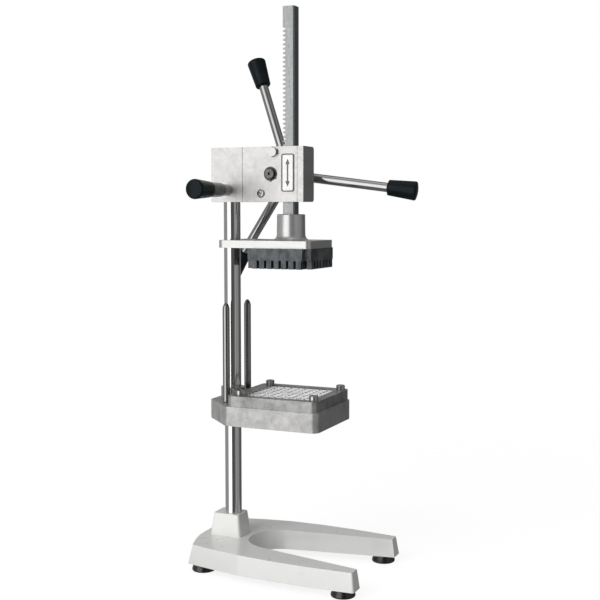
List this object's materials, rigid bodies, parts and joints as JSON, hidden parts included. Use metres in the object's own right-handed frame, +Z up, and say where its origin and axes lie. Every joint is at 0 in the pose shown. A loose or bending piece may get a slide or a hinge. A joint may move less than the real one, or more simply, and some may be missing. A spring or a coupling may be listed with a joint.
{
  "type": "vegetable dicer",
  "caption": "Hand-operated column press that drives a toothed pusher down through a square blade grid by rack and pinion, turned by a spoked handle.",
  "frame": {"origin": "floor level on the column's axis", "axes": "+X towards the open side of the base, +Z up along the column, +Y towards the turning handle"},
  "size_m": [0.3183, 0.2212, 0.8265],
  "materials": {
    "base_paint": "smooth satin enamel, light warm grey",
    "foot_rubber": "matt black rubber",
    "column_steel": "polished stainless steel",
    "fastener_steel": "zinc-plated steel",
    "dark_steel": "black-oxide steel",
    "bright_screw": "bright plated steel",
    "cast_aluminium": "tumbled casting, satin",
    "head_aluminium": "milled and blasted, satin",
    "plate_aluminium": "turned and brushed",
    "blade_steel": "ground stainless steel",
    "rack_steel": "ground steel",
    "gear_steel": "machined steel, oiled",
    "bronze": "machined bronze",
    "spoke_steel": "polished stainless steel",
    "grip_plastic": "moulded, glossy black",
    "block_plastic": "machined dark grey nylon",
    "label_metal": "stamped plate"
  },
  "bodies": {
    "stand": {"base_casting": "base_paint", "rubber_feet": "foot_rubber", "foot_screws": "fastener_steel", "column": "column_steel", "column_bolt": "dark_steel", "column_washer": "fastener_steel", "base_set_screw": "dark_steel", "table_casting": "cast_aluminium", "table_clamp_cap": "cast_aluminium", "table_clamp_bolts": "fastener_steel", "table_collar": "fastener_steel", "collar_screw": "dark_steel", "guide_pins": "column_steel", "blade_frame": "cast_aluminium", "blades_lengthwise": "blade_steel", "blades_crosswise": "blade_steel", "frame_screws": "bright_screw"},
    "head": {"head_casting": "head_aluminium", "gear_cover": "head_aluminium", "nameplate": "label_metal", "cover_bolt": "bright_screw", "cover_screw": "bright_screw", "cover_dowels": "dark_steel", "near_bush": "bronze", "far_bush": "bronze", "friction_plug": "bronze", "friction_springs": "dark_steel", "friction_screw": "dark_steel"},
    "crank": {"pinion_gear": "gear_steel", "pinion_shaft": "gear_steel", "shaft_keys": "dark_steel", "retaining_ring": "dark_steel", "thrust_washer": "bronze", "handle_hub": "plate_aluminium", "hub_washer": "fastener_steel", "hub_nut": "bright_screw", "spoke_1": "spoke_steel", "spoke_2": "spoke_steel", "spoke_3": "spoke_steel", "grip_1": "grip_plastic", "grip_2": "grip_plastic", "grip_3": "grip_plastic"},
    "pusher": {"rack_bar": "rack_steel", "rack_pin": "fastener_steel", "pusher_head": "plate_aluminium", "pusher_block": "block_plastic", "pusher_screws": "fastener_steel", "guide_bushes": "bronze"},
    "clamp_pad": {"clamp_pad": "bronze"},
    "lock": {"lock_spindle": "fastener_steel", "lock_collar": "spoke_steel", "lock_grip": "grip_plastic"}
  },
  "joints": [
    {"name": "head_slide", "type": "slide", "parent": "stand", "child": "head", "axis": [0, 0, 1], "range_m": [0, 0.03]},
    {"name": "handle_turn", "type": "hinge", "parent": "head", "child": "crank", "pos_m": [0.073, 0, 0.587], "axis": [0, 1, 0], "range_deg": [-50, 655]},
    {"name": "rack_slide", "type": "slide", "parent": "head", "child": "pusher", "axis": [0, 0, -1], "range_m": [-0.015, 0.195]},
    {"name": "pad_slide", "type": "slide", "parent": "head", "child": "clamp_pad", "axis": [0, -1, 0], "range_m": [0, 0.003]},
    {"name": "lock_turn", "type": "hinge", "parent": "clamp_pad", "child": "lock", "pos_m": [0.002, -0.05, 0.564], "axis": [0, -1, 0], "range_deg": [-0.5, 721]}
  ],
  "couplings": [
    {"joint": "rack_slide", "follows": "handle_turn", "m_per_rad": 0.017},
    {"joint": "lock_turn", "follows": "pad_slide", "rad_per_m": 4188.8}
  ]
}
